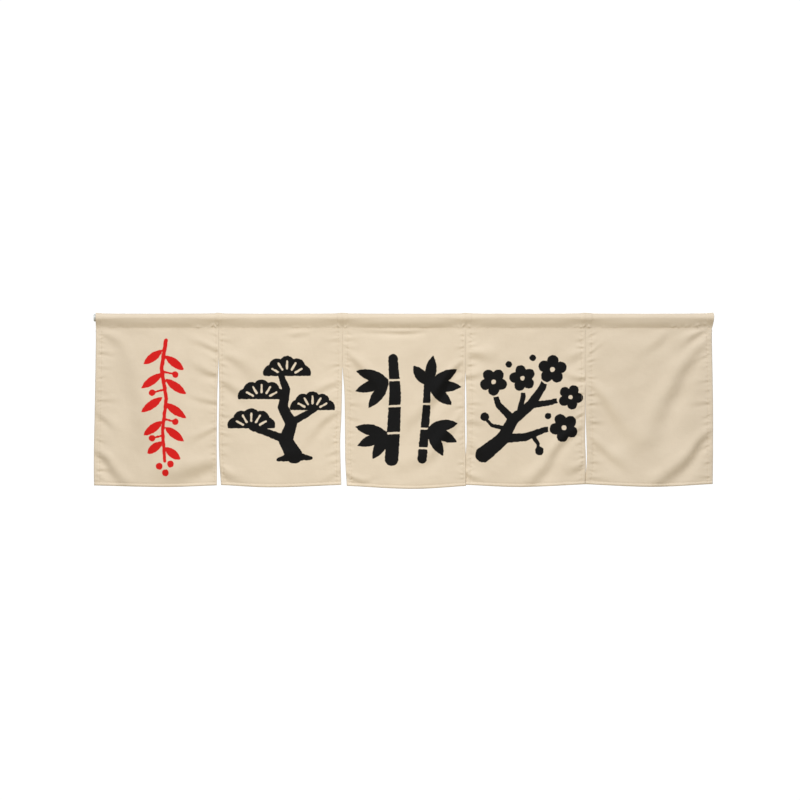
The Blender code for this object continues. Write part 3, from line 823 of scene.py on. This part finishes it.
def blossom(x, drop, centre_x, centre_drop, size, turn):
    """Five round petals about a small open eye."""
    shape = disc(x, drop, centre_x, centre_drop, size * 0.6)
    for i in range(5):
        angle = turn + 2 * math.pi * i / 5
        petal_x = centre_x + math.cos(angle) * size
        petal_drop = centre_drop + math.sin(angle) * size
        shape = np.minimum(shape, disc(x, drop, petal_x, petal_drop, size * 0.66))
    return np.maximum(shape, -disc(x, drop, centre_x, centre_drop, size * 0.28))


def plum_branch(x, drop):
    """A bent plum branch with blossoms and buds."""
    limbs = (
        (
            (-116, 376, 22), (-64, 334, 18), (-34, 280, 15),
            (14, 240, 13), (46, 192, 10), (64, 150, 7),
        ),
        ((-60, 332, 13), (0, 328, 11), (52, 308, 8), (88, 304, 6)),
        ((-34, 280, 11), (-74, 240, 9), (-86, 206, 6)),
        ((14, 240, 10), (62, 234, 8), (110, 222, 6)),
        ((-18, 262, 8), (-6, 216, 7), (-8, 180, 5)),
        ((20, 324, 7), (34, 346, 5), (36, 362, 4)),
        ((-48, 306, 7), (-92, 296, 5), (-108, 280, 4)),
    )
    flowers = (
        (-88, 176, 23, 0.3), (74, 142, 24, 1.0), (124, 218, 21, 0.1),
        (-8, 166, 22, 0.7), (106, 302, 24, 0.5),
    )
    buds = ((38, 366, 12), (-112, 272, 12), (62, 270, 9), (20, 110, 9), (-46, 128, 9))
    shape = merged(stroke(x, drop, *limb) for limb in limbs)
    for centre_x, centre_drop, size, turn in flowers:
        shape = np.maximum(shape, -disc(x, drop, centre_x, centre_drop, size * 1.82))
        shape = np.minimum(shape, blossom(x, drop, centre_x, centre_drop, size, turn))
    shape = merged([shape, *(disc(x, drop, *bud) for bud in buds)])
    return brushed(x, drop, shape, "plum")


def berry_sprig(x, drop):
    """A hanging sprig of leaves and berries."""
    x = x - 18
    stem = ((6, 62, 5.6), (-6, 140, 5.4), (7, 222, 5.0), (-3, 310, 4.6), (3, 394, 4.2))
    leaves = ((96, 56, 40), (160, 62, 42), (226, 62, 42), (292, 56, 40), (348, 46, 34))
    side_berries = ((-1, 206), (-1, 331), (1, 156), (1, 286))
    end_berries = ((-12, 408, 9.5), (19, 402, 9.5), (5, 426, 9.5))
    shapes = [stroke(x, drop, *stem)]
    for leaf_drop, reach, fall in leaves:
        for turn in (-1, 1):
            root = (3 * turn, leaf_drop + 8 * turn)
            tip = (reach * turn, leaf_drop + fall + 8 * turn)
            shapes.append(leaf(x, drop, root, tip, 11.5))
    for turn, berry_drop in side_berries:
        stalk = ((0, berry_drop - 8, 3), (24 * turn, berry_drop - 2, 2.6))
        shapes.append(stroke(x, drop, *stalk))
        shapes.append(disc(x, drop, 32 * turn, berry_drop, 9.0))
    shapes += [disc(x, drop, *berry) for berry in end_berries]
    return brushed(x, drop, merged(shapes), "sprig")


MOTIFS = {1: berry_sprig, 2: pine, 3: bamboo, 4: plum_branch}


def add_object(name, data):
    """An object in the scene with this mesh, camera or light."""
    made = bpy.data.objects.new(name, data)
    bpy.context.scene.collection.objects.link(made)
    return made


def build_cloth(number, surface, materials):
    """A panel's cloth: its outer surface in quads, thickened inwards, more so in its hems."""
    rows, columns = surface.points.shape[:2]
    index = np.arange(rows * columns).reshape(rows, columns)
    quads = np.stack([index[:-1, :-1], index[:-1, 1:], index[1:, 1:], index[1:, :-1]], axis=2)
    mesh = bpy.data.meshes.new(f"cloth_{number}")
    mesh.from_pydata(surface.points.reshape(-1, 3).tolist(), [], quads.reshape(-1, 4).tolist())
    mesh.shade_smooth()
    attribute = mesh.attributes.new("ink", "FLOAT", "POINT")
    attribute.data.foreach_set("value", surface.ink.ravel().astype(np.float32))
    cloth = add_object(f"cloth_{number}", mesh)
    for material in materials:
        mesh.materials.append(material)
    hems = cloth.vertex_groups.new(name="hems")
    flat_weight = np.round(surface.weight.ravel(), 2)
    for value in np.unique(flat_weight):
        hems.add(np.nonzero(flat_weight == value)[0].tolist(), float(value), "REPLACE")
    solidify = cloth.modifiers.new("cloth", "SOLIDIFY")
    solidify.thickness = HEM_CLOTH
    solidify.vertex_group = hems.name
    solidify.thickness_vertex_group = CLOTH / HEM_CLOTH
    solidify.offset = -1.0
    solidify.material_offset = 1
    return cloth


def place_along(values, along, at):
    """The values at these distances along a line of points."""
    return np.stack([np.interp(at, along, values[:, axis]) for axis in range(3)], axis=1)


def add_stitches(bm, line, normals):
    """Small sewn stitches along a line of surface points, their ends sunk in the cloth."""
    steps = np.linalg.norm(np.diff(line, axis=0), axis=1)
    along = np.concatenate([[0.0], np.cumsum(steps)])
    begin = np.arange(FIRST_STITCH, along[-1] - STITCH_LENGTH - PAST_LAST_STITCH, STITCH_PITCH)
    starts = place_along(line, along, begin)
    ends = place_along(line, along, begin + STITCH_LENGTH)
    outs = place_along(normals, along, begin + STITCH_LENGTH / 2)
    for start, end, out in zip(starts, ends, outs):
        start, end, out = Vector(start), Vector(end), Vector(out).normalized()
        side = (end - start).normalized().cross(out)
        rings = []
        for t, size, rise in STITCH_RINGS:
            centre = start.lerp(end, t) + out * (rise * THREAD_RADIUS)
            ring = []
            for k in range(THREAD_SIDES):
                angle = 2 * math.pi * k / THREAD_SIDES
                offset = side * math.cos(angle) + out * math.sin(angle)
                ring.append(bm.verts.new(centre + offset * THREAD_RADIUS * size))
            rings.append(ring)
        for lower, upper in zip(rings, rings[1:]):
            for k in range(THREAD_SIDES):
                after = (k + 1) % THREAD_SIDES
                bm.faces.new((lower[k], lower[after], upper[after], upper[k]))
        bm.faces.new(rings[0][::-1])
        bm.faces.new(rings[-1])


def build_stitches(number, surface, material):
    """All the thread that shows on a panel, front and back."""
    points, front_rows = surface.points, surface.front_rows
    normals = outward(points)
    thickness = CLOTH + (HEM_CLOTH - CLOTH) * surface.weight
    left, right = seam_ends(number)
    from_left = points[front_rows, :, 0] - left
    left_stitch, right_stitch = HEM_STITCH[number - 1]
    lines = []
    for place in (left_stitch, right - left - right_stitch):
        column = int(np.argmin(np.abs(from_left - place)))
        rows = slice(3, front_rows - 2)
        lines.append((points[rows, column], normals[rows, column], thickness[rows, column]))
    middle = points.shape[1] // 2
    for drop in (surface.bottom[middle] - BOTTOM_STITCH, SEAM_DROP + SEAM_STITCH):
        row = int(np.argmin(np.abs(points[:front_rows, middle, 2] + drop)))
        lines.append((points[row], normals[row], thickness[row]))
    bm = bmesh.new()
    for line, normal, thick in lines:
        add_stitches(bm, line, normal)
        add_stitches(bm, line - normal * thick[:, None], -normal)
    bmesh.ops.recalc_face_normals(bm, faces=bm.faces)
    mesh = bpy.data.meshes.new(f"stitches_{number}")
    bm.to_mesh(mesh)
    bm.free()
    mesh.shade_smooth()
    mesh.materials.append(material)
    return add_object(f"stitches_{number}", mesh)


def feed(tree, node, values):
    """Give a node's inputs these values: sockets, numbers, vectors or colours."""
    for name, value in values.items():
        socket = node.inputs[name]
        if isinstance(value, bpy.types.NodeSocket):
            tree.links.new(value, socket)
        else:
            socket.default_value = (*value, 1.0) if socket.type == "RGBA" else value


def add_node(tree, kind, values):
    """A shader node of this kind, fed with these values."""
    node = tree.nodes.new(f"ShaderNode{kind}")
    feed(tree, node, values)
    return node


def new_material(name, roughness, specular):
    """A material, its node tree and its shader."""
    material = bpy.data.materials.new(name)
    material.use_nodes = True
    tree = material.node_tree
    shader = tree.nodes["Principled BSDF"]
    feed(tree, shader, {"Roughness": roughness, "Specular IOR Level": specular})
    return material, tree, shader


def noise(tree, grain):
    """A noise texture over stretched object coordinates."""
    stretch, scale, detail = GRAIN[grain]
    coordinates = add_node(tree, "TexCoord", {}).outputs["Object"]
    mapping = add_node(tree, "Mapping", {"Vector": coordinates, "Scale": stretch})
    values = {"Vector": mapping.outputs["Vector"], "Scale": scale, "Detail": detail}
    return add_node(tree, "TexNoise", values).outputs["Fac"]


def remap(tree, value, low, high, to_low=0.0, to_high=1.0):
    """A socket's range from low to high, brought to another range."""
    names = ("Value", "From Min", "From Max", "To Min", "To Max")
    values = dict(zip(names, (value, low, high, to_low, to_high)))
    return add_node(tree, "MapRange", values).outputs["Result"]


def mixed(tree, factor, first, second):
    """A colour mix. first and second are sockets or plain colours."""
    node = tree.nodes.new("ShaderNodeMix")
    node.data_type = "RGBA"
    feed(tree, node, {0: factor, 6: first, 7: second})
    return node.outputs[2]


def relief_normal(tree, height, strength, distance):
    """The normal of fine relief from a socket of heights."""
    bump = add_node(tree, "Bump", {"Strength": strength, "Distance": distance, "Height": height})
    return bump.outputs["Normal"]


def cloth_material(name, ink_colour, ink_strength):
    """Smooth tan cloth, finely woven, with painted shade in the weave's hollows and print where the
    ink attribute is below 0.
    """
    material, tree, shader = new_material(name, 0.72, 0.15)
    weave = add_node(tree, "Math", {0: noise(tree, "weft"), 1: noise(tree, "warp")})
    height = weave.outputs[0]
    tone = noise(tree, "tone")
    slub = noise(tree, "slub")
    colour = mixed(tree, remap(tree, tone, 0.3, 0.7), CLOTH_SHADE, CLOTH_TINT)
    colour = mixed(tree, remap(tree, slub, 0.35, 0.65, 0.0, 0.05), colour, SLUB_TONE_AND_WEAVE_SHADE)
    # Painted shade: the colour darkens where the weave's relief sits lower
    colour = mixed(tree, remap(tree, height, 0.8, 1.2, 0.10, 0.0), colour, SLUB_TONE_AND_WEAVE_SHADE)
    roughness = remap(tree, height, 0.7, 1.3, 0.78, 0.66)
    if ink_strength > 0:
        attribute = tree.nodes.new("ShaderNodeAttribute")
        attribute.attribute_name = "ink"
        ink = attribute.outputs["Fac"]
        covered = remap(tree, ink, -INK_BLUR, INK_BLUR, ink_strength, 0.0)
        colour = mixed(tree, covered, colour, ink_colour)
    normal = relief_normal(tree, height, 0.20, 0.0003)
    feed(tree, shader, {"Base Color": colour, "Roughness": roughness, "Normal": normal})
    feed(tree, shader, {"Sheen Weight": 0.05, "Sheen Roughness": 0.45, "Sheen Tint": SHEEN_TINT})
    return material


def thread_material():
    """Tan sewing thread with a twist."""
    material, tree, shader = new_material("thread", 0.6, 0.35)
    twist = noise(tree, "twist")
    colour = mixed(tree, remap(tree, twist, 0.35, 0.65), THREAD_DARK, THREAD_LIGHT)
    roughness = remap(tree, twist, 0.3, 0.7, 0.5, 0.7)
    feed(tree, shader, {"Base Color": colour, "Roughness": roughness})
    return material


def rod_material():
    """Grey painted steel with faint drawn lines and rub marks."""
    material, tree, shader = new_material("rod_finish", 0.4, 0.5)
    drawn = noise(tree, "drawn")
    worn = noise(tree, "worn")
    colour = mixed(tree, remap(tree, drawn, 0.3, 0.7), ROD_SHADE, ROD_TINT)
    colour = mixed(tree, remap(tree, worn, 0.55, 0.75, 0.0, 0.4), colour, ROD_WORN)
    roughness = remap(tree, drawn, 0.3, 0.7, 0.32, 0.5)
    normal = relief_normal(tree, drawn, 0.15, 0.0002)
    feed(tree, shader, {"Base Color": colour, "Roughness": roughness, "Normal": normal})
    return material


def dress_panels():
    """The five cloths with their stitches, each in place of its solid."""
    back = cloth_material("cloth_back", INK_BLACK, 0.0)
    thread = thread_material()
    for number in range(1, len(HANGS) + 1):
        ink = INK_RED if number == 1 else INK_BLACK
        printed = number in MOTIFS
        front = cloth_material(f"cloth_front_{number}", ink, 1.0 if printed else 0.0)
        behind = cloth_material(f"cloth_back_{number}", ink, INK_BEHIND) if printed else back
        surface = panel_surface(number)
        cloth = build_cloth(number, surface, (front, behind))
        stitches = build_stitches(number, surface, thread)
        stitches.parent = cloth
        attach(cloth, "root")
        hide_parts(f"panel_{number}")
        left, right = seam_ends(number)


def dress_rod():
    """The rod is the solid itself, with its own finish."""
    finish = rod_material()
    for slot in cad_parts["rod"].material_slots:
        slot.material = finish


def add_camera():
    """Square to the curtain, as in the photo."""
    data = bpy.data.cameras.new("camera")
    data.sensor_width = SENSOR_WIDTH
    data.lens = SENSOR_WIDTH * CAMERA_DISTANCE / IMAGE_WIDTH_AT_CURTAIN
    camera = add_object("camera", data)
    camera.location = (CAMERA_X, -CAMERA_DISTANCE, CAMERA_Z)
    camera.rotation_euler = (math.pi / 2, 0.0, 0.0)
    bpy.context.scene.camera = camera


def add_light(light):
    """A round area light that faces its target."""
    data = bpy.data.lights.new(light.name, "AREA")
    data.shape = "DISK"
    data.size = light.size
    data.energy = light.power
    data.color = light.colour
    lamp = add_object(light.name, data)
    lamp.location = light.place
    towards = Vector(light.target) - Vector(light.place)
    lamp.rotation_euler = towards.to_track_quat("-Z", "Y").to_euler()


def add_world():
    """White behind the object, and a soft light that is brighter from above."""
    world = bpy.data.worlds.new("studio")
    bpy.context.scene.world = world
    world.use_nodes = True
    tree = world.node_tree
    direction = add_node(tree, "TexCoord", {}).outputs["Generated"]
    split = add_node(tree, "SeparateXYZ", {0: direction})
    upward = remap(tree, split.outputs["Z"], -1.0, 1.0)
    soft = mixed(tree, upward, WORLD_BELOW, WORLD_ABOVE)
    camera_ray = add_node(tree, "LightPath", {}).outputs["Is Camera Ray"]
    seen = mixed(tree, camera_ray, soft, WHITE_BEHIND)
    feed(tree, tree.nodes["Background"], {"Color": seen})


def add_floor():
    """A plain pale floor well below the curtain."""
    mesh = bpy.data.meshes.new("floor")
    bm = bmesh.new()
    bmesh.ops.create_circle(bm, cap_ends=True, segments=FLOOR_SIDES, radius=FLOOR_RADIUS)
    bmesh.ops.translate(bm, verts=bm.verts, vec=(0.0, 0.0, -FLOOR_DROP))
    bm.to_mesh(mesh)
    bm.free()
    material, tree, shader = new_material("floor", 0.9, 0.1)
    feed(tree, shader, {"Base Color": FLOOR_COLOUR})
    mesh.materials.append(material)
    floor = add_object("floor", mesh)


def set_stage():
    """Camera, world, lights, floor and plain colour management."""
    add_camera()
    add_world()
    for light in LIGHTS:
        add_light(light)
    add_floor()
    bpy.context.scene.view_settings.view_transform = "Standard"


dress_panels()
dress_rod()
set_stage()
